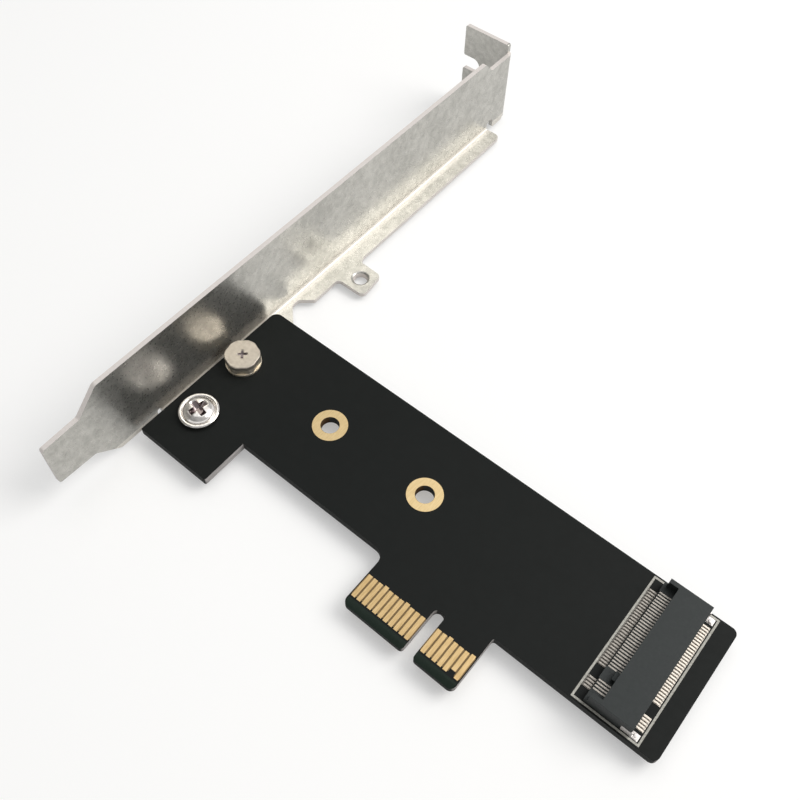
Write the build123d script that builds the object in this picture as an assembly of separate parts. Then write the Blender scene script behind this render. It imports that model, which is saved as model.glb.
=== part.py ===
"""Solid-state drive adapter card on a full-height expansion bracket, in millimetres.

X runs along the card away from the bracket, Y along the bracket towards its
screw flange, Z up out of the component side. The origin is the key slot's
centre line at the tip of the card edge, half way through the board.
"""
import math
import os

from build123d import *

os.makedirs("parts", exist_ok=True)

# circuit board
board_t = 1.6
top = board_t / 2
under = -board_t / 2
board_low = 9.9
board_margin = 0.7
foot_low = 1.15
foot_w = 14.9
corner_r = 1.0
copper_t = 0.04

# card edge: the key slot is the origin, the contacts stand on a 1 mm grid
pitch = 1.0
key_index = 11.5
left_count = 11
right_count = 7
key_skip = 2
tab_margin = 0.65
key_w = 1.9
key_depth = 8.2
tab_left = -(key_index * pitch + tab_margin)
tab_right = (left_count + key_skip + right_count - 1 - key_index) * pitch + tab_margin
tab_root_r = 1.9
tab_tip_r = 1.0
key_tip_r = 0.6
bevel_len = 1.0
bevel_in = 0.3
bevel_over = 1.0
finger_w = 0.7
finger_low = 1.65
finger_high = 5.85
finger_step = 0.2
short_low = 2.45

# bracket sheet
sheet = 0.86
bend_r = 0.5
face_out = -59.05
face_x = face_out + sheet
strip_low = under - sheet
face_h = 18.42
bracket_len = 120.02
tip_y = -14.2
end_y = tip_y + bracket_len
tongue_w = 10.19
tongue_len = 7.15
tongue_taper = 0.3
shoulder_end = 11.5
lower_edge = 0.4
fold_start = 20.5
fold_gap = 7.02
fold_end = bracket_len - fold_gap
relief_w = 0.9
far_relief_w = 2.1
relief_rise = 0.1
neck_start_gap = 9.62
neck_end_gap = 7.22
neck_start = bracket_len - neck_start_gap
neck_end = bracket_len - neck_end_gap
neck_drop = 2.6
flange_out = 11.43
flange_low = 0.5
flange_high = 17.6
notch_w = 3.2
notch_depth = 4.1
notch_z = 9.1

# the drive module, from the standoff in the bracket to its seat in the socket
hole_pitch = 20.0
module_len = 80.0
module_w = 22.0
module_t = 0.8
standoff_in = 4.44
standoff_x = face_x + standoff_in
seat_x = standoff_x + module_len
hole_r = 1.55
ring_r = 3.0
ring_inner_r = 1.6
open_holes = [standoff_x + hole_pitch, standoff_x + 2 * hole_pitch]
board_gap = 1.85
board_behind = 8.6
board_left = face_out + board_gap
board_right = seat_x + board_behind
board_high = board_low + module_w + 2 * board_margin
foot_right = board_left + foot_w
centre_y = (board_low + board_high) / 2

# strip under the card, measured from the bracket face and from the tongue's tip
strip_w = 3.6
neck_w = 1.25
pad_w = 10.6
pad_above = 6.2
pad_high = centre_y + pad_above - tip_y
strip_low_y = pad_high + pad_w - neck_w
neck_step = 1.55
strip_step = 2.0
ear_w = 9.7
ear_slant = 0.6
ear_low = 61.4
ear_high = 67.2
ear_hole_in = 6.6
ear_hole_x = face_x + ear_hole_in
ear_hole_y = tip_y + (ear_low + ear_high) / 2
tapped_r = 1.25
burr_h = 1.0
ear_burr_h = 0.35
burr_wall = 0.75
mouth_r = 0.6

# fasteners
running = 0.02
screw_r = 1.5
screw_in = 6.19
screw_x = face_x + screw_in
screw_y = 9.4
head_rim_r = 3.45
head_groove_r = 2.75
head_groove_h = 0.85
head_bulge_h = 0.22
head_under = 0.3
head_crown_r = 0.9
head_h = 1.9
cross_w = 1.1
cross_span = 3.9
cross_deep = 1.25
cross_turn = -10
seat_h = 1.5
standoff_rim_r = 3.15
standoff_rim_t = 0.45
standoff_flat = 5.8
clamp_r = 1.0
clamp_head_r = 3.1
clamp_flat = 5.95
clamp_head_t = 0.95
clamp_long = 2.6
clamp_cross = 2.0
clamp_turn = 43
clamp_slot = 0.5
clamp_deep = 0.55
hex_turn = -18.6

# drive socket
socket_h = 3.2
floor_ahead = 3.5
arm_ahead = 3.0
jaw_ahead = 1.4
body_behind = 3.9
socket_front = seat_x - floor_ahead
arm_front = seat_x - arm_ahead
jaw_front = seat_x - jaw_ahead
socket_back = seat_x + body_behind
arm_w = 0.75
slot_low = top + seat_h - 0.05
slot_high = slot_low + module_t + 0.25
slot_back = seat_x + 0.15
slot_margin = 0.9
slot_half = module_w / 2 - slot_margin
skin = 0.28
floor_skin = 0.35
pin_pitch = 0.5
row_margin = 1.625
pin_count = round((module_w - 2 * row_margin) / (pin_pitch / 2))
pin_first = (pin_count - 1) * pin_pitch / 4
key_pins = range(pin_count - 16, pin_count - 8)
pin_w = 0.24
pin_t = 0.15
cell = 0.03
key_rib = 1.5
tail_len = 1.1
tail_back_len = 1.05
tail_front = socket_front - tail_len
tail_back = socket_back + tail_back_len
pad_side = 0.08
pad_extra = 0.22
solder_h = 0.12
peg_small = 0.5
peg_large = 0.75
peg_in = 1.4
peg_behind = 0.35
peg_half = module_w / 2 - peg_in
peg_x = seat_x + peg_behind
peg_len = 1.2
anchor_w = 0.9
anchor_t = 0.2
ink_t = 0.02
ink_w = 0.32
ink_gap = 0.1
ink_front_gap = 0.06
ink_back_gap = 0.2


def outline(points):
    """Closed face from (u, v, corner radius) triples."""
    face = make_face(Polyline(*[(u, v) for u, v, r in points], close=True))
    for u, v, r in points:
        if r:
            near = face.vertices().sort_by(lambda p: (p.X - u) ** 2 + (p.Y - v) ** 2)[0]
            face = fillet(near, r)
    return face


def slab(points, z0, z1):
    return extrude(Pos(0, 0, z0) * outline(points), amount=z1 - z0)


def box(x0, x1, y0, y1, z0, z1):
    return Pos((x0 + x1) / 2, (y0 + y1) / 2, (z0 + z1) / 2) * Box(x1 - x0, y1 - y0, z1 - z0)


def rod(x, y, z0, z1, r):
    return Pos(x, y, (z0 + z1) / 2) * Cylinder(r, z1 - z0)


def side_profile(points, y0, y1):
    """Solid from an X-Z outline that runs along Y."""
    face = make_face(Polyline(*points, close=True))
    return extrude(Plane.XZ.offset(-y0) * face, amount=-(y1 - y0))


def hexagon(flats):
    return RegularPolygon(flats / 2, 6, major_radius=False, rotation=hex_turn)


def cross(x, y, z, span, width, depth, turn):
    """Tapered cross recess, cut down from height z."""
    point = Rot(0, 0, 45) * Cone(span * 0.16, span / 2, depth)
    blades = Box(span, width, depth) + Box(width, span, depth)
    return Pos(x, y, z - depth / 2) * Rot(0, 0, turn) * (point & blades)


def save(shape, name):
    shape.label = name
    export_step(shape, f"parts/{name}.step")


def group(pieces, name):
    save(Compound(label=name, children=list(pieces)), name)


# circuit board
board_outline = [
    (board_left, foot_low, 0),
    (foot_right, foot_low, 0.3),
    (foot_right, board_low, 0),
    (tab_left, board_low, tab_root_r),
    (tab_left, 0, tab_tip_r),
    (-key_w / 2, 0, key_tip_r),
    (-key_w / 2, key_depth, key_w / 2 - 0.01),
    (key_w / 2, key_depth, key_w / 2 - 0.01),
    (key_w / 2, 0, key_tip_r),
    (tab_right, 0, tab_tip_r),
    (tab_right, board_low, 0.5),
    (board_right, board_low, corner_r),
    (board_right, board_high, corner_r),
    (board_left, board_high, corner_r * 1.4),
]
board = slab(board_outline, under, top)
for side in (1, -1):
    outside = side * (top + bevel_over)
    wedge = make_face(Polyline((0, side * (top - bevel_in)), (bevel_len, side * top), (bevel_len, outside),
                               (-bevel_over, outside), (-bevel_over, side * (top - bevel_in)), close=True))
    board -= extrude(Plane.YZ.offset(tab_left - bevel_over) * wedge,
                     amount=tab_right - tab_left + 2 * bevel_over)
for x in [standoff_x] + open_holes:
    board -= rod(x, centre_y, under - 1, top + 1, hole_r)
board -= rod(screw_x, screw_y, under - 1, top + 1, screw_r + 0.15)
pegs = [(centre_y + peg_half, peg_small), (centre_y - peg_half, peg_large)]
for y, r in pegs:
    board -= rod(peg_x, y, under - 1, top + 1, r + 0.05)
save(board, "circuit_board")

# gold contacts on both faces of the card edge
slots = list(range(left_count)) + [left_count + key_skip + i for i in range(right_count)]


def fingers(z0):
    for i in slots:
        x = (i - key_index) * pitch
        low = short_low if i == slots[-2] else finger_low
        high = finger_high + (finger_step if i % 4 == 3 else 0)
        yield box(x - finger_w / 2, x + finger_w / 2, low, high, z0, z0 + copper_t)


group(fingers(top), "edge_contacts_top")
group(fingers(under - copper_t), "edge_contacts_under")

# gold rings around the two open fixing holes, on both faces
for name, z0 in (("hole_rings_top", top), ("hole_rings_under", under - copper_t)):
    group([rod(x, centre_y, z0, z0 + copper_t, ring_r) - rod(x, centre_y, z0 - 1, z0 + 1, ring_inner_r)
           for x in open_holes], name)

# bracket face with its tapered tongue, in the Y-Z plane
base = strip_low
tongue_low = base + (face_h - tongue_w) / 2
tongue_high = tongue_low + tongue_w
bend_out = bend_r + sheet
near_arch = base + bend_out + relief_w / 2 + relief_rise
far_arch = base + bend_out + far_relief_w / 2 + relief_rise
face_end = end_y - bend_out
neck_z = base + face_h - neck_drop
fold_y0 = tip_y + fold_start
fold_y1 = tip_y + fold_end
face_outline = [
    (tip_y, tongue_low + tongue_taper, 0.5),
    (tip_y + tongue_len, tongue_low, 0.8),
    (tip_y + shoulder_end, base + lower_edge, 1.6),
    (fold_y0 - relief_w, base + lower_edge, 0),
    (fold_y0 - relief_w, near_arch, relief_w / 2 - 0.01),
    (fold_y0, near_arch, relief_w / 2 - 0.01),
    (fold_y0, base + bend_out, 0),
    (fold_y1, base + bend_out, 0),
    (fold_y1, far_arch, far_relief_w / 2 - 0.01),
    (fold_y1 + far_relief_w, far_arch, far_relief_w / 2 - 0.01),
    (fold_y1 + far_relief_w, base, 0.5),
    (face_end, base, flange_low),
    (face_end, neck_z, 0),
    (tip_y + neck_end, neck_z, 0.6),
    (tip_y + neck_start, base + face_h, 0.8),
    (tip_y + shoulder_end, base + face_h, 1.0),
    (tip_y + tongue_len, tongue_high, 0.8),
    (tip_y, tongue_high - tongue_taper, 0.5),
]
bracket = extrude(Plane.YZ.offset(face_out) * outline(face_outline), amount=sheet)

# quarter bends: face to strip, face to flange
ring = Circle(bend_out) - Circle(bend_r)
fold_sector = ring & Pos(-bend_out / 2, -bend_out / 2) * Rectangle(bend_out, bend_out)
fold_plane = Plane(origin=(face_x + bend_r, fold_y1, base + bend_out), x_dir=(1, 0, 0), z_dir=(0, -1, 0))
bracket += extrude(fold_plane * fold_sector, amount=fold_y1 - fold_y0)
flange_sector = ring & Pos(bend_out / 2, bend_out / 2) * Rectangle(bend_out, bend_out)
flange_bend = extrude(flange_sector, amount=neck_z - base - flange_low)
bracket += Pos(face_out - bend_r, face_end, base + flange_low) * flange_bend

# strip with the ear and the seat for the card, in plan
strip_outline = [
    (bend_r, fold_start, 0),
    (pad_w, fold_start, 1.2),
    (pad_w, pad_high, 1.2),
    (neck_w, strip_low_y, 1.2),
    (neck_w, strip_low_y + neck_step, 0.8),
    (strip_w, strip_low_y + neck_step + strip_step, 0.5),
    (strip_w, ear_low, 0.8),
    (ear_w, ear_low, 1.0),
    (ear_w - ear_slant, ear_high, 1.0),
    (strip_w + 0.6, ear_high + 0.2, 0.6),
    (strip_w, ear_high + 1.5, 0.6),
    (strip_w, fold_end, 1.2),
    (bend_r, fold_end, 0),
]
strip = slab([(face_x + u, tip_y + v, r) for u, v, r in strip_outline], base, under)
tapped = [(standoff_x, centre_y, screw_r + running, burr_h), (screw_x, screw_y, screw_r + running, burr_h),
          (ear_hole_x, ear_hole_y, tapped_r, ear_burr_h)]
for x, y, r, burr in tapped:
    strip += rod(x, y, base - burr, under, r + burr_wall)
for x, y, r, burr in tapped:
    strip -= rod(x, y, base - burr - 1, under + 1, r)
ear_mouth = [e for e in strip.edges().filter_by(GeomType.CIRCLE)
             if abs(e.radius - tapped_r) < 0.001 and abs(e.center().Z - under) < 0.001]
strip = fillet(ear_mouth, mouth_r)
bracket += strip

# flange with its open screw notch, in the X-Z plane
notch_x = face_x - flange_out + notch_depth
flange_outline = [
    (face_out - bend_r, base + flange_low, 0),
    (face_out - bend_r, neck_z, 0),
    (face_out, neck_z, 0),
    (face_out, base + flange_high, 0.3),
    (face_x - flange_out, base + flange_high, 0.4),
    (face_x - flange_out, base + notch_z + notch_w / 2, 0.4),
    (notch_x, base + notch_z + notch_w / 2, notch_w / 2 - 0.01),
    (notch_x, base + notch_z - notch_w / 2, notch_w / 2 - 0.01),
    (face_x - flange_out, base + notch_z - notch_w / 2, 0.4),
    (face_x - flange_out, base + flange_low, 0.8),
]
bracket += extrude(Plane.XZ.offset(-(end_y - sheet)) * outline(flange_outline), amount=-sheet)
save(bracket, "bracket")

# screw that holds the card's foot to the bracket
screw_end = -(board_t + sheet + burr_h)
rim_bulge = (head_rim_r - head_groove_r) / 2
steps = [math.radians(15 * i) for i in range(1, 7)]
half_screw = [(0, screw_end), (0, head_h), (head_crown_r, head_h)]
half_screw += [(head_crown_r + (head_groove_r - head_crown_r) * math.sin(a),
                head_groove_h + (head_h - head_groove_h) * math.cos(a)) for a in steps]
half_screw += [(head_groove_r + rim_bulge * (1 - math.cos(2 * a)),
                head_groove_h + head_bulge_h * math.sin(2 * a)) for a in steps]
half_screw += [(head_rim_r - 0.15, head_under), (head_rim_r - 0.45, 0), (screw_r, 0),
               (screw_r, screw_end + 0.2), (screw_r - 0.25, screw_end)]
screw = Rot(0, 0, 45 + cross_turn) * revolve(Plane.XZ * make_face(Polyline(*half_screw, close=True)), Axis.Z)
recess = cross(screw_x, screw_y, top + head_h, cross_span, cross_w, cross_deep, cross_turn)
save(Pos(screw_x, screw_y, top) * screw - recess, "foot_screw")

# threaded standoff through the card into the bracket, and its clamp screw
standoff = rod(standoff_x, centre_y, top, top + standoff_rim_t, standoff_rim_r)
standoff += Pos(standoff_x, centre_y, top + standoff_rim_t) * extrude(
    hexagon(standoff_flat) & Circle(standoff_rim_r - 0.05), amount=seat_h - standoff_rim_t)
standoff += rod(standoff_x, centre_y, base - burr_h, top, screw_r)
standoff -= rod(standoff_x, centre_y, top + seat_h - clamp_long - 0.3, top + seat_h + 1, clamp_r + running)
save(standoff, "standoff")
clamp_head = hexagon(clamp_flat) & Circle(clamp_head_r)
clamp = Pos(standoff_x, centre_y, top + seat_h) * extrude(clamp_head, amount=clamp_head_t)
clamp = chamfer(clamp.faces().sort_by(Axis.Z)[-1].edges(), 0.12)
clamp += rod(standoff_x, centre_y, top + seat_h - clamp_long, top + seat_h, clamp_r)
clamp -= cross(standoff_x, centre_y, top + seat_h + clamp_head_t,
               clamp_cross, clamp_slot, clamp_deep, clamp_turn)
save(clamp, "clamp_screw")

# socket: pin 1 is at the +Y end, odd pins come out at the back, even pins at the front
pins = [n for n in range(1, pin_count + 1) if n not in key_pins]


def pin_y(n):
    return centre_y + pin_first - (n - 1) * pin_pitch / 2


back_y = [pin_y(n) for n in pins if n % 2]
front_y = [pin_y(n) for n in pins if n % 2 == 0]
roof = top + socket_h
y_low = centre_y - module_w / 2
y_high = centre_y + module_w / 2
key_y = pin_y((key_pins[0] + key_pins[-1]) / 2)
sill = slot_low - 0.12

housing = box(socket_front, socket_back, y_low, y_high, top, roof)
housing -= box(socket_front - 1, arm_front, y_low - 1, y_high + 1, sill, roof + 1)
housing -= box(arm_front - 0.1, jaw_front, y_low + arm_w, y_high - arm_w, sill, roof + 1)
housing -= box(jaw_front - 0.1, slot_back, centre_y - slot_half, centre_y + slot_half, slot_low, slot_high)
housing += box(jaw_front - 0.6, slot_back, key_y - key_rib / 2, key_y + key_rib / 2, sill - 0.1, slot_high)
pin_floor = top + floor_skin
half_cell = pin_w / 2 + cell
front_cells = [box(socket_front - 1, slot_back + 0.8, y - half_cell, y + half_cell, pin_floor, slot_low)
               for y in front_y]
front_cells += [box(socket_front - 1, socket_front + 0.5, y - half_cell, y + half_cell, top - 1, slot_low)
                for y in front_y]
back_cells = [box(jaw_front + 0.25, socket_back - 0.35, y - half_cell, y + half_cell,
                  slot_high - 0.3, roof - skin) for y in back_y]
back_cells += [box(socket_back - 0.75, socket_back + 1, y - half_cell, y + half_cell, top - 1, roof - skin)
               for y in back_y]
housing -= front_cells + back_cells
for side in (1, -1):
    edge = centre_y + side * module_w / 2
    inner = edge - side * 0.35
    housing -= box(socket_back - 1.6, socket_back + 1, min(edge, inner), max(edge, inner), top - 1, top + 1.6)
for y, r in pegs:
    housing += rod(peg_x, y, top - peg_len, top, r)
save(housing, "socket_housing")

# spring contacts: a tail on the board, a riser, a beam into the slot
lift = top + copper_t
low_beam = sill - pin_t - 0.05
front_pin = [(tail_front, lift), (socket_front + 0.1, lift), (socket_front + 0.3, low_beam),
             (jaw_front - 0.4, low_beam), (jaw_front + 0.6, slot_low - 0.1),
             (jaw_front + 0.85, slot_low - 0.1),
             (slot_back + 0.3, low_beam + 0.05), (slot_back + 0.3, low_beam + 0.05 + pin_t),
             (jaw_front + 0.95, slot_low - 0.1 + pin_t), (jaw_front + 0.5, slot_low - 0.1 + pin_t),
             (jaw_front - 0.45, low_beam + pin_t), (socket_front + 0.18, low_beam + pin_t),
             (socket_front, lift + pin_t), (tail_front, lift + pin_t)]
high_beam = roof - skin - 0.1
back_pin = [(tail_back, lift), (socket_back - 0.35, lift), (socket_back - 0.6, lift + 0.3),
            (socket_back - 0.6, high_beam - pin_t), (slot_back + 0.2, high_beam - pin_t),
            (jaw_front + 0.8, slot_high - 0.1), (jaw_front + 0.5, slot_high - 0.1),
            (jaw_front + 0.45, slot_high - 0.1 + pin_t), (jaw_front + 0.75, slot_high - 0.1 + pin_t),
            (slot_back + 0.1, high_beam), (socket_back - 0.45, high_beam), (socket_back - 0.45, lift + 0.36),
            (socket_back - 0.28, lift + pin_t), (tail_back, lift + pin_t)]
group([side_profile(front_pin, y - pin_w / 2, y + pin_w / 2) for y in front_y], "socket_pins_front")
group([side_profile(back_pin, y - pin_w / 2, y + pin_w / 2) for y in back_y], "socket_pins_back")

# pads under the tails, and the solder at each tail's end
half_pad = pin_w / 2 + pad_side
front_pad = (tail_front - pad_extra, socket_front - 0.05)
back_pad = (socket_back + 0.05, tail_back + pad_extra)
for name, rows, (x0, x1) in (("socket_pads_front", front_y, front_pad),
                             ("socket_pads_back", back_y, back_pad)):
    group([box(x0, x1, y - half_pad, y + half_pad, top, lift) for y in rows], name)
toe = pad_extra - 0.03
for name, rows, x, way in (("socket_solder_front", front_y, tail_front, -1),
                           ("socket_solder_back", back_y, tail_back, 1)):
    bead = [(x, lift), (x + way * toe, lift), (x, lift + solder_h)]
    group([side_profile(bead, y - half_pad + 0.01, y + half_pad - 0.01) for y in rows], name)

# corner anchors that hold the socket down, with their solder and pads
anchors, anchor_pads, anchor_solder = [], [], []
for side in (1, -1):
    outer = module_w / 2 - 0.05
    y0, y1 = sorted((centre_y + side * outer, centre_y + side * (outer - anchor_t)))
    f0, f1 = sorted((centre_y + side * outer, centre_y + side * (outer - anchor_w)))
    wall = box(socket_back - 1.5, socket_back + 0.25, y0, y1, lift, top + 1.5)
    anchors.append(wall + box(socket_back + 0.05, tail_back, f0, f1, lift, lift + anchor_t))
    p0, p1 = sorted((centre_y + side * (outer + 0.05), centre_y + side * (outer - anchor_w - 0.1)))
    anchor_pads.append(box(socket_back + 0.05, tail_back + pad_extra, p0, p1, top, lift))
    blob_x = (socket_back + 0.25 + tail_back) / 2 + 0.05
    blob_y = centre_y + side * (outer - anchor_w / 2 - 0.1)
    anchor_solder.append(Pos(blob_x, blob_y, lift + anchor_t + 0.06) * Cylinder(0.32, 0.12))
group(anchors, "socket_anchors")
group(anchor_pads, "socket_anchor_pads")
group(anchor_solder, "socket_anchor_solder")

# printed outline around the socket
ink_low = y_low - ink_gap
ink_high = y_high + ink_gap
ink_front = front_pad[0] - ink_front_gap
ink_back = back_pad[1] + ink_back_gap
ink = box(ink_front - ink_w, ink_back + ink_w, ink_low - ink_w, ink_high + ink_w, top, top + ink_t)
ink -= box(ink_front, ink_back, ink_low, ink_high, top - 1, top + 1)
save(ink, "socket_outline_ink")
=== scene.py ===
import math

import bpy
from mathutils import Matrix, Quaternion, Vector


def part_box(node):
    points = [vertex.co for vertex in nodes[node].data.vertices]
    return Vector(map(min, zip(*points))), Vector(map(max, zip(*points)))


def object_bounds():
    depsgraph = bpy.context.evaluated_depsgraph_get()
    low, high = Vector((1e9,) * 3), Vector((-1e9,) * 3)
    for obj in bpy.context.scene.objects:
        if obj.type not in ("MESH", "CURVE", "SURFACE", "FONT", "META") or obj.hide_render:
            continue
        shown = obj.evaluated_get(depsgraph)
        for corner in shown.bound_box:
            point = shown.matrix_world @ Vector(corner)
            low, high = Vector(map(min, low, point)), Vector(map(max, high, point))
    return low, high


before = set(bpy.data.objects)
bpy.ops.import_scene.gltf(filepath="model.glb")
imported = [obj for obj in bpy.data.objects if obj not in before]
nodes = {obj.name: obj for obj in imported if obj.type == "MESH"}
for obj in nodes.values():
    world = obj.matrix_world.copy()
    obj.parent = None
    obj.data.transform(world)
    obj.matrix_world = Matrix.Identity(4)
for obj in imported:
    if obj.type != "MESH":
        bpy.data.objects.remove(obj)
cad_box = [list(v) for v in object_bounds()]
scene = bpy.context.scene
MM = 0.001


def corners(node):
    """A node's lowest corner, highest corner and middle at rest, in millimetres."""
    low, high = (Vector(v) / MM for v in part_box(node))
    return low, high, (low + high) / 2


# sizes and places on the CAD part, in millimetres
SHEET = 0.86
FLANGE_OUT = 11.43
LONG_FOLD_TOP = -0.2
LONG_FOLD_OUT = 0.8
FLANGE_FOLD_OUT = 1.3
HOLE_ROW_MID = -20.0
HOLE_ROW_HALF = 40.0
SHORT_CONTACT_X = 6.5
NEAR = 0.02
bracket_low, bracket_high, _ = corners("bracket")
board_low, board_high, _ = corners("circuit_board")
contacts_low, contacts_high, contacts_mid = corners("edge_contacts_top")
_, foot_screw_high, foot_screw_mid = corners("foot_screw")
_, clamp_high, clamp_mid = corners("clamp_screw")
face_x = bracket_low.x + FLANGE_OUT
sheet_mid = face_x - SHEET / 2
flange_mid = bracket_high.y - SHEET / 2


# helpers for node trees

def add(tree, kind, inputs=None, **props):
    """A new node. Each input is a plain value or the output of another node."""
    node = tree.nodes.new(kind)
    for key, value in props.items():
        setattr(node, key, value)
    for key, value in (inputs or {}).items():
        if isinstance(value, bpy.types.NodeSocket):
            tree.links.new(value, node.inputs[key])
        else:
            node.inputs[key].default_value = value
    return node


def combine(tree, operation, a, b=0.0):
    return add(tree, "ShaderNodeMath", {0: a, 1: b}, operation=operation).outputs[0]


def spread(tree, value, low, high, a=0.0, b=1.0, curve="LINEAR"):
    """The value from low to high, laid out from a to b and held there."""
    return add(tree, "ShaderNodeMapRange", {0: value, 1: low, 2: high, 3: a, 4: b}, clamp=True,
               interpolation_type=curve).outputs[0]


def rgba(colour):
    """A plain colour with its alpha. The output of a node stays as it is."""
    return colour if isinstance(colour, bpy.types.NodeSocket) else (*colour, 1.0)


def background_rays(tree):
    """1 for rays that look at the background or mirror it, and 0 for those that light the object."""
    rays = add(tree, "ShaderNodeLightPath").outputs
    mirrored = combine(tree, "MAXIMUM", rays["Is Glossy Ray"], rays["Is Transmission Ray"])
    return combine(tree, "MAXIMUM", mirrored, rays["Is Camera Ray"])


class Paint:
    """One procedural material. Its coordinates are the frame's, in millimetres."""

    def __init__(self, name, **fixed):
        self.mat = bpy.data.materials.new(name)
        self.mat.use_nodes = True
        self.tree = self.mat.node_tree
        self.shader = self.tree.nodes["Principled BSDF"]
        for key, value in fixed.items():
            self.shader.inputs[key.replace("_", " ")].default_value = value
        coords = add(self.tree, "ShaderNodeTexCoord").outputs["Object"]
        self.mm = self.times(coords, (1 / MM, 1 / MM, 1 / MM))
        self.normal = None

    def times(self, vector, factors):
        return add(self.tree, "ShaderNodeVectorMath", {0: vector, 1: factors},
                   operation="MULTIPLY").outputs[0]

    def noise(self, scale, detail=2.0, rough=0.5, stretch=None):
        where = self.times(self.mm, stretch) if stretch else self.mm
        return add(self.tree, "ShaderNodeTexNoise", {"Vector": where, "Scale": scale, "Detail": detail,
                                                     "Roughness": rough}).outputs["Fac"]

    def varied(self, scale, low, high):
        """A value that wanders between low and high, mostly for the roughness."""
        return self.ramp(self.noise(scale), 0.3, 0.7, low, high)

    def axis(self, name):
        return add(self.tree, "ShaderNodeSeparateXYZ", {0: self.mm}).outputs[name]

    def facing(self, axis):
        """1 on faces square to the axis, and 0 on faces along it."""
        normal = add(self.tree, "ShaderNodeNewGeometry").outputs["Normal"]
        return self.math("ABSOLUTE", add(self.tree, "ShaderNodeSeparateXYZ", {0: normal}).outputs[axis])

    def turned(self, axis):
        """1 on faces along the axis, and 0 on faces square to it."""
        return self.smooth(self.facing(axis), 0.7, 0.5)

    def math(self, operation, a, b=0.0):
        return combine(self.tree, operation, a, b)

    def below(self, value, limit):
        return self.math("LESS_THAN", value, limit)

    def above(self, value, limit):
        return self.math("GREATER_THAN", value, limit)

    def within(self, value, centre, reach):
        return self.below(self.math("ABSOLUTE", self.math("SUBTRACT", value, centre)), reach)

    def all_of(self, first, *others):
        for other in others:
            first = self.math("MULTIPLY", first, other)
        return first

    def ramp(self, value, low, high, a=0.0, b=1.0):
        return spread(self.tree, value, low, high, a, b)

    def smooth(self, value, low, high):
        return spread(self.tree, value, low, high, curve="SMOOTHSTEP")

    def mix(self, share, a, b):
        """Two colours, by share."""
        return add(self.tree, "ShaderNodeMix", {0: share, 6: rgba(a), 7: rgba(b)},
                   data_type="RGBA").outputs[2]

    def mottle(self, noise, dark, light, low=0.35, high=0.65):
        return self.mix(self.ramp(noise, low, high), dark, light)

    def blend(self, share, a, b):
        """Two plain numbers, by share."""
        return add(self.tree, "ShaderNodeMix", {0: share, 2: a, 3: b}, data_type="FLOAT").outputs[0]

    def bump(self, height, strength, depth):
        inputs = {"Height": height, "Strength": strength, "Distance": depth * MM}
        if self.normal:
            inputs["Normal"] = self.normal
        self.normal = add(self.tree, "ShaderNodeBump", inputs).outputs[0]
        self.set("Normal", self.normal)

    def set(self, socket, value):
        self.tree.links.new(value, self.shader.inputs[socket])


# materials

def bracket_paint():
    """Mottled plated sheet with pale sheared edges and a pale painted highlight inside the long bend.
    """
    m = Paint("bracket_plated_sheet")
    x, y, z = m.axis("X"), m.axis("Y"), m.axis("Z")
    in_sheet = SHEET / 2 + NEAR
    face_edge = m.all_of(m.within(x, sheet_mid, in_sheet), m.turned("X"), m.above(z, LONG_FOLD_TOP))
    strip_edge = m.all_of(m.below(z, board_low.z + NEAR), m.turned("Z"),
                          m.above(x, face_x + LONG_FOLD_OUT))
    flange_edge = m.all_of(m.within(y, flange_mid, in_sheet), m.turned("Y"),
                           m.below(x, face_x - FLANGE_FOLD_OUT))
    cut = m.math("MAXIMUM", face_edge, m.math("MAXIMUM", strip_edge, flange_edge))
    sheared = m.mix(m.noise(3.0, 3.0), (0.72, 0.67, 0.635), (0.86, 0.81, 0.775))
    # A pale cream colour with little metal is painted inside the long bend as a highlight.
    fold_highlight = m.all_of(m.smooth(z, 0.0, -0.4), m.smooth(x, face_x + 1.6, face_x + 0.6),
                    m.above(x, face_x - 0.05))
    clouds = m.blend(0.35, m.noise(0.8, 3.0, 0.55), m.noise(0.12))
    plate = m.mottle(clouds, (0.40, 0.393, 0.364), (0.54, 0.528, 0.493), 0.37, 0.63)
    plate = m.mix(fold_highlight, plate, (0.86, 0.82, 0.75))
    m.set("Base Color", m.mix(cut, plate, sheared))
    m.set("Metallic", m.blend(cut, m.blend(fold_highlight, 0.86, 0.2), 0.45))
    m.set("Roughness", m.blend(cut, m.varied(2.6, 0.26, 0.34), 0.5))
    m.bump(m.noise(0.9, 1.0), 0.05, 0.1)
    m.bump(m.noise(0.35, 1.0), 0.10, 0.3)
    return m.mat


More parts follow.
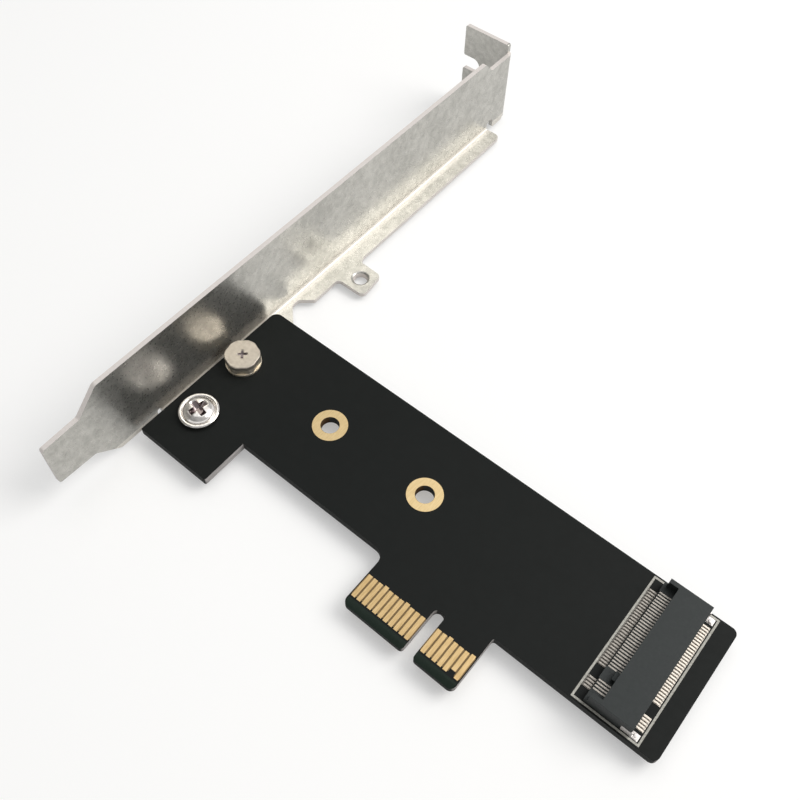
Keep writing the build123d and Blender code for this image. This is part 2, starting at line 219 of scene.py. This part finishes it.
def board_paint():
    """Black mask, bare laminate at the contacts, and pale cut sides, with painted shade on the long
    sides that face along Y.
    """
    m = Paint("board_mask_and_laminate", IOR=1.45, Specular_IOR_Level=0.12)
    x, y, z = m.axis("X"), m.axis("Y"), m.axis("Z")
    on_edge = m.within(x, contacts_mid.x, contacts_high.x - contacts_mid.x + 0.15)
    tip = m.all_of(m.below(y, contacts_low.y - 0.3), on_edge)
    past_short = m.all_of(m.within(x, SHORT_CONTACT_X, 0.5), m.below(y, contacts_low.y + 0.8))
    between = m.all_of(m.within(y, contacts_mid.y, contacts_high.y - contacts_mid.y - 0.25), on_edge,
                       m.math("SUBTRACT", 1.0, past_short))
    mask = m.mix(m.noise(0.5, 3.0), (0.0095, 0.0110, 0.0103), (0.0120, 0.0135, 0.0128))
    bare = m.mix(m.noise(1.8, 3.0), (0.012, 0.020, 0.015), (0.018, 0.028, 0.021))
    gap = m.mix(m.noise(2.5), (0.16, 0.105, 0.050), (0.24, 0.165, 0.080))
    top = m.mix(between, m.mix(tip, mask, bare), gap)

    layers = m.noise(1.0, 2.0, 0.6, stretch=(0.35, 0.35, 7.0))
    glass = m.mottle(layers, (0.42, 0.40, 0.39), (0.70, 0.66, 0.65))
    # The hole walls get a dark brown: partly their plating and partly painted shade.
    plated_and_shaded_hole_walls = m.all_of(m.within(y, clamp_mid.y, 2.2), m.within(x, HOLE_ROW_MID, HOLE_ROW_HALF))
    glass = m.mix(plated_and_shaded_hole_walls, glass, (0.10, 0.055, 0.025))
    # The sides that face along Y get a near-black colour: painted shade.
    long_side_shade = m.smooth(m.facing("Y"), 0.6, 0.8)
    glass = m.mix(long_side_shade, glass, (0.075, 0.078, 0.076))
    lip = m.smooth(m.math("ABSOLUTE", z), board_high.z - 0.10, board_high.z - 0.02)
    edge = m.mix(lip, glass, (0.03, 0.032, 0.031))

    side = m.smooth(m.facing("Z"), 0.75, 0.6)
    m.set("Base Color", m.mix(side, top, edge))
    m.set("Roughness", m.blend(side, m.varied(1.1, 0.46, 0.54), 0.75))
    m.bump(m.noise(5.0), 0.05, 0.03)
    m.bump(m.all_of(side, m.noise(4.0, 3.0, 0.7, stretch=(1, 1, 2.5))), 0.35, 0.06)
    return m.mat


def gold_paint():
    """Brushed gold, duller on the card edge than on the rings."""
    m = Paint("soft_gold_plating", Metallic=1.0)
    brushed = m.noise(1.0, 3.0, 0.6, stretch=(7.0, 0.6, 1.0))
    rings = m.mottle(brushed, (0.66, 0.495, 0.25), (0.78, 0.60, 0.33), 0.3, 0.7)
    worn = m.mottle(brushed, (0.50, 0.345, 0.155), (0.66, 0.48, 0.25), 0.3, 0.7)
    m.set("Base Color", m.mix(m.below(m.axis("Y"), contacts_high.y + 1), rings, worn))
    m.set("Roughness", m.varied(3.0, 0.34, 0.44))
    m.bump(brushed, 0.06, 0.02)
    return m.mat


def plastic_paint():
    m = Paint("socket_moulded_plastic", IOR=1.5, Specular_IOR_Level=0.25)
    m.set("Base Color", m.mix(m.noise(1.6, 3.0), (0.019, 0.0235, 0.0235), (0.028, 0.033, 0.033)))
    m.set("Roughness", m.varied(3.0, 0.42, 0.52))
    m.bump(m.noise(9.0), 0.12, 0.02)
    return m.mat


def ink_paint():
    m = Paint("printed_pale_ink", IOR=1.45)
    m.set("Base Color", m.mottle(m.noise(4.0, 3.0), (0.36, 0.35, 0.31), (0.55, 0.54, 0.49)))
    m.set("Roughness", m.varied(3.0, 0.6, 0.75))
    m.bump(m.noise(7.0), 0.1, 0.01)
    return m.mat


def in_recess(m, centre, height, reach):
    """1 in the driver recess, below a domed head's top and within reach of its centre."""
    lip, dome_fall, fade = 0.10, 0.055, 0.12
    dx = m.math("SUBTRACT", m.axis("X"), centre.x)
    dy = m.math("SUBTRACT", m.axis("Y"), centre.y)
    far = m.math("ADD", m.all_of(dx, dx), m.all_of(dy, dy))
    dome = m.math("SUBTRACT", height - lip, m.math("MULTIPLY", far, dome_fall))
    deep = m.smooth(m.math("SUBTRACT", dome, m.axis("Z")), 0.0, fade)
    return m.all_of(deep, m.below(far, reach ** 2))


def metal_paint(name, dark, light, rough, grain=1.6, bump=0.05, metal=1.0, mottle=None, recess=None):
    """Plated metal. The mottling is as fine as the grain where it has no scale of its own."""
    m = Paint(name, Metallic=metal)
    colour = m.mottle(m.noise(mottle or grain, 3.0), dark, light)
    if recess:
        # The driver recess gets a dark colour: painted shade.
        colour = m.mix(in_recess(m, *recess), colour, (0.26, 0.22, 0.22))
    m.set("Base Color", colour)
    m.set("Roughness", m.varied(grain * 1.7, rough * 0.85, rough * 1.15))
    m.bump(m.noise(grain * 3), bump, 0.03)
    return m.mat


steel = bracket_paint()
board = board_paint()
gold = gold_paint()
plastic = plastic_paint()
ink = ink_paint()
screw = metal_paint("screw_bright_nickel", (0.70, 0.67, 0.64), (0.84, 0.81, 0.78), 0.17,
                    recess=(foot_screw_mid, foot_screw_high.z, 2.05))
standoff = metal_paint("standoff_warm_nickel", (0.66, 0.585, 0.465), (0.78, 0.71, 0.59), 0.42,
                       grain=1.2, bump=0.03, metal=0.8)
clamp = metal_paint("clamp_satin_nickel", (0.47, 0.42, 0.355), (0.53, 0.48, 0.41), 0.42,
                    grain=1.2, bump=0.02, metal=0.75, mottle=1.6, recess=(clamp_mid, clamp_high.z, 1.1))
# The front contacts, pads and solder get a darker copy of the contact metal: painted shade.
shaded_front_contacts = metal_paint("contact_metal_painted_shade", (0.25, 0.232, 0.208), (0.32, 0.298, 0.269), 0.42, grain=4.0)
tails = metal_paint("contact_tinned_tails", (0.66, 0.60, 0.525), (0.76, 0.70, 0.62), 0.45,
                    grain=4.0, metal=0.65)
solder = metal_paint("solder_bright", (0.80, 0.76, 0.735), (0.88, 0.845, 0.82), 0.52,
                     grain=3.0, bump=0.04, metal=0.5)

# each node's material and the rounding of its edges in millimetres, 0 for thin flat pieces
finish = {
    "bracket": (steel, 0.07),
    "circuit_board": (board, 0.05),
    "edge_contacts_top": (gold, 0),
    "edge_contacts_under": (gold, 0),
    "hole_rings_top": (gold, 0),
    "hole_rings_under": (gold, 0),
    "foot_screw": (screw, 0.06),
    "standoff": (standoff, 0.05),
    "clamp_screw": (clamp, 0.05),
    "socket_housing": (plastic, 0.03),
    "socket_pins_front": (shaded_front_contacts, 0),
    "socket_pins_back": (tails, 0),
    "socket_pads_front": (shaded_front_contacts, 0),
    "socket_pads_back": (tails, 0),
    "socket_solder_front": (shaded_front_contacts, 0),
    "socket_solder_back": (tails, 0),
    "socket_anchors": (solder, 0.03),
    "socket_anchor_pads": (solder, 0),
    "socket_anchor_solder": (solder, 0.03),
    "socket_outline_ink": (ink, 0),
}


def dress(piece, mat, rounding):
    piece.data.materials.clear()
    piece.data.materials.append(mat)
    for face in piece.data.polygons:
        face.material_index = 0
    weld = piece.modifiers.new("weld", "WELD")
    weld.merge_threshold = 0.002 * MM
    if not rounding:
        piece.data.shade_flat()
        return
    piece.data.shade_smooth()
    flat = piece.modifiers.new("flat faces", "DECIMATE")
    flat.decimate_type = "DISSOLVE"
    flat.angle_limit = math.radians(0.5)
    rounded = piece.modifiers.new("rounded edges", "BEVEL")
    rounded.width = rounding * MM
    rounded.segments = 2
    rounded.limit_method = "ANGLE"
    rounded.angle_limit = math.radians(32)
    even = piece.modifiers.new("even shading", "WEIGHTED_NORMAL")
    even.weight = 100


for name, (mat, rounding) in finish.items():
    dress(nodes[name], mat, rounding)

# camera, solved from the photograph
lens = bpy.data.cameras.new("camera")
lens.sensor_width = 36
lens.lens = 41.815
lens.shift_x, lens.shift_y = 0.02028, -0.02528
lens.clip_start, lens.clip_end = 0.005, 10
camera = bpy.data.objects.new("camera", lens)
camera.rotation_mode = "QUATERNION"
camera.location = Vector((24.510, -35.007, 131.846)) * MM
camera.rotation_quaternion = Quaternion((0.897947, 0.278979, 0.099601, 0.325486))
scene.collection.objects.link(camera)
scene.camera = camera

# floor, just below the part: grey for the light on the object, and white where it is seen
FLOOR_SIZE = 4.0
FLOOR_GAP = 0.01 * MM
FLOOR_LIT, FLOOR_SEEN = (0.15, 0.15, 0.147), (0.66, 0.66, 0.655)
FLOOR_GLOW = 0.36
lowest = min(v[2] for v in cad_box)
bpy.ops.mesh.primitive_plane_add(size=FLOOR_SIZE, location=(0, 0, lowest - FLOOR_GAP))
floor = bpy.context.object
floor.name = "floor"
pale = Paint("pale_floor", Roughness=1.0, Specular_IOR_Level=0.0, Emission_Color=rgba((1, 1, 1)))
seen = background_rays(pale.tree)
pale.set("Base Color", pale.mix(seen, FLOOR_LIT, FLOOR_SEEN))
pale.set("Emission Strength", pale.math("MULTIPLY", seen, FLOOR_GLOW))
floor.data.materials.append(pale.mat)

# world: a soft room that is brighter on the lamps' side, with a white wall where it is seen
BRIGHT_SIDE = Vector((0.50, 0.40, 0.77)).normalized()
ROOM_DARK, ROOM_BRIGHT = 0.03, 0.55
WALL_TOP, WALL_FULL = 0.55, 0.42
world = bpy.data.worlds.new("world")
scene.world = world
world.use_nodes = True
sky = world.node_tree
way = add(sky, "ShaderNodeTexCoord").outputs["Generated"]
toward = add(sky, "ShaderNodeVectorMath", {0: way, 1: BRIGHT_SIDE},
             operation="DOT_PRODUCT").outputs["Value"]
room = spread(sky, toward, -0.6, 0.9, ROOM_DARK, ROOM_BRIGHT)
wall = spread(sky, add(sky, "ShaderNodeSeparateXYZ", {0: way}).outputs["Z"], WALL_TOP, WALL_FULL)
white = combine(sky, "MULTIPLY", wall, background_rays(sky))
background = sky.nodes["Background"]
background.inputs["Color"].default_value = rgba((1, 1, 1))
sky.links.new(combine(sky, "MAXIMUM", room, white), background.inputs["Strength"])

# lamps
LAMP_AIM = Vector((-0.02, 0.05, 0.0))


def lamp(name, place, size, power, tint=(1, 1, 1)):
    """A rectangular lamp that points at the middle of the part."""
    light = bpy.data.lights.new(name, "AREA")
    light.shape = "RECTANGLE"
    light.size, light.size_y = size
    light.energy = power
    light.color = tint
    holder = bpy.data.objects.new(name, light)
    holder.location = place
    holder.rotation_mode = "QUATERNION"
    holder.rotation_quaternion = (LAMP_AIM - Vector(place)).to_track_quat("-Z", "Y")
    scene.collection.objects.link(holder)


lamp("key", (0.28, 0.35, 0.49), (0.42, 0.42), 2.8, tint=(1.0, 0.985, 0.96))
lamp("top", (-0.12, 0.20, 0.65), (0.6, 0.5), 0.75)

scene.view_settings.view_transform = "Standard"
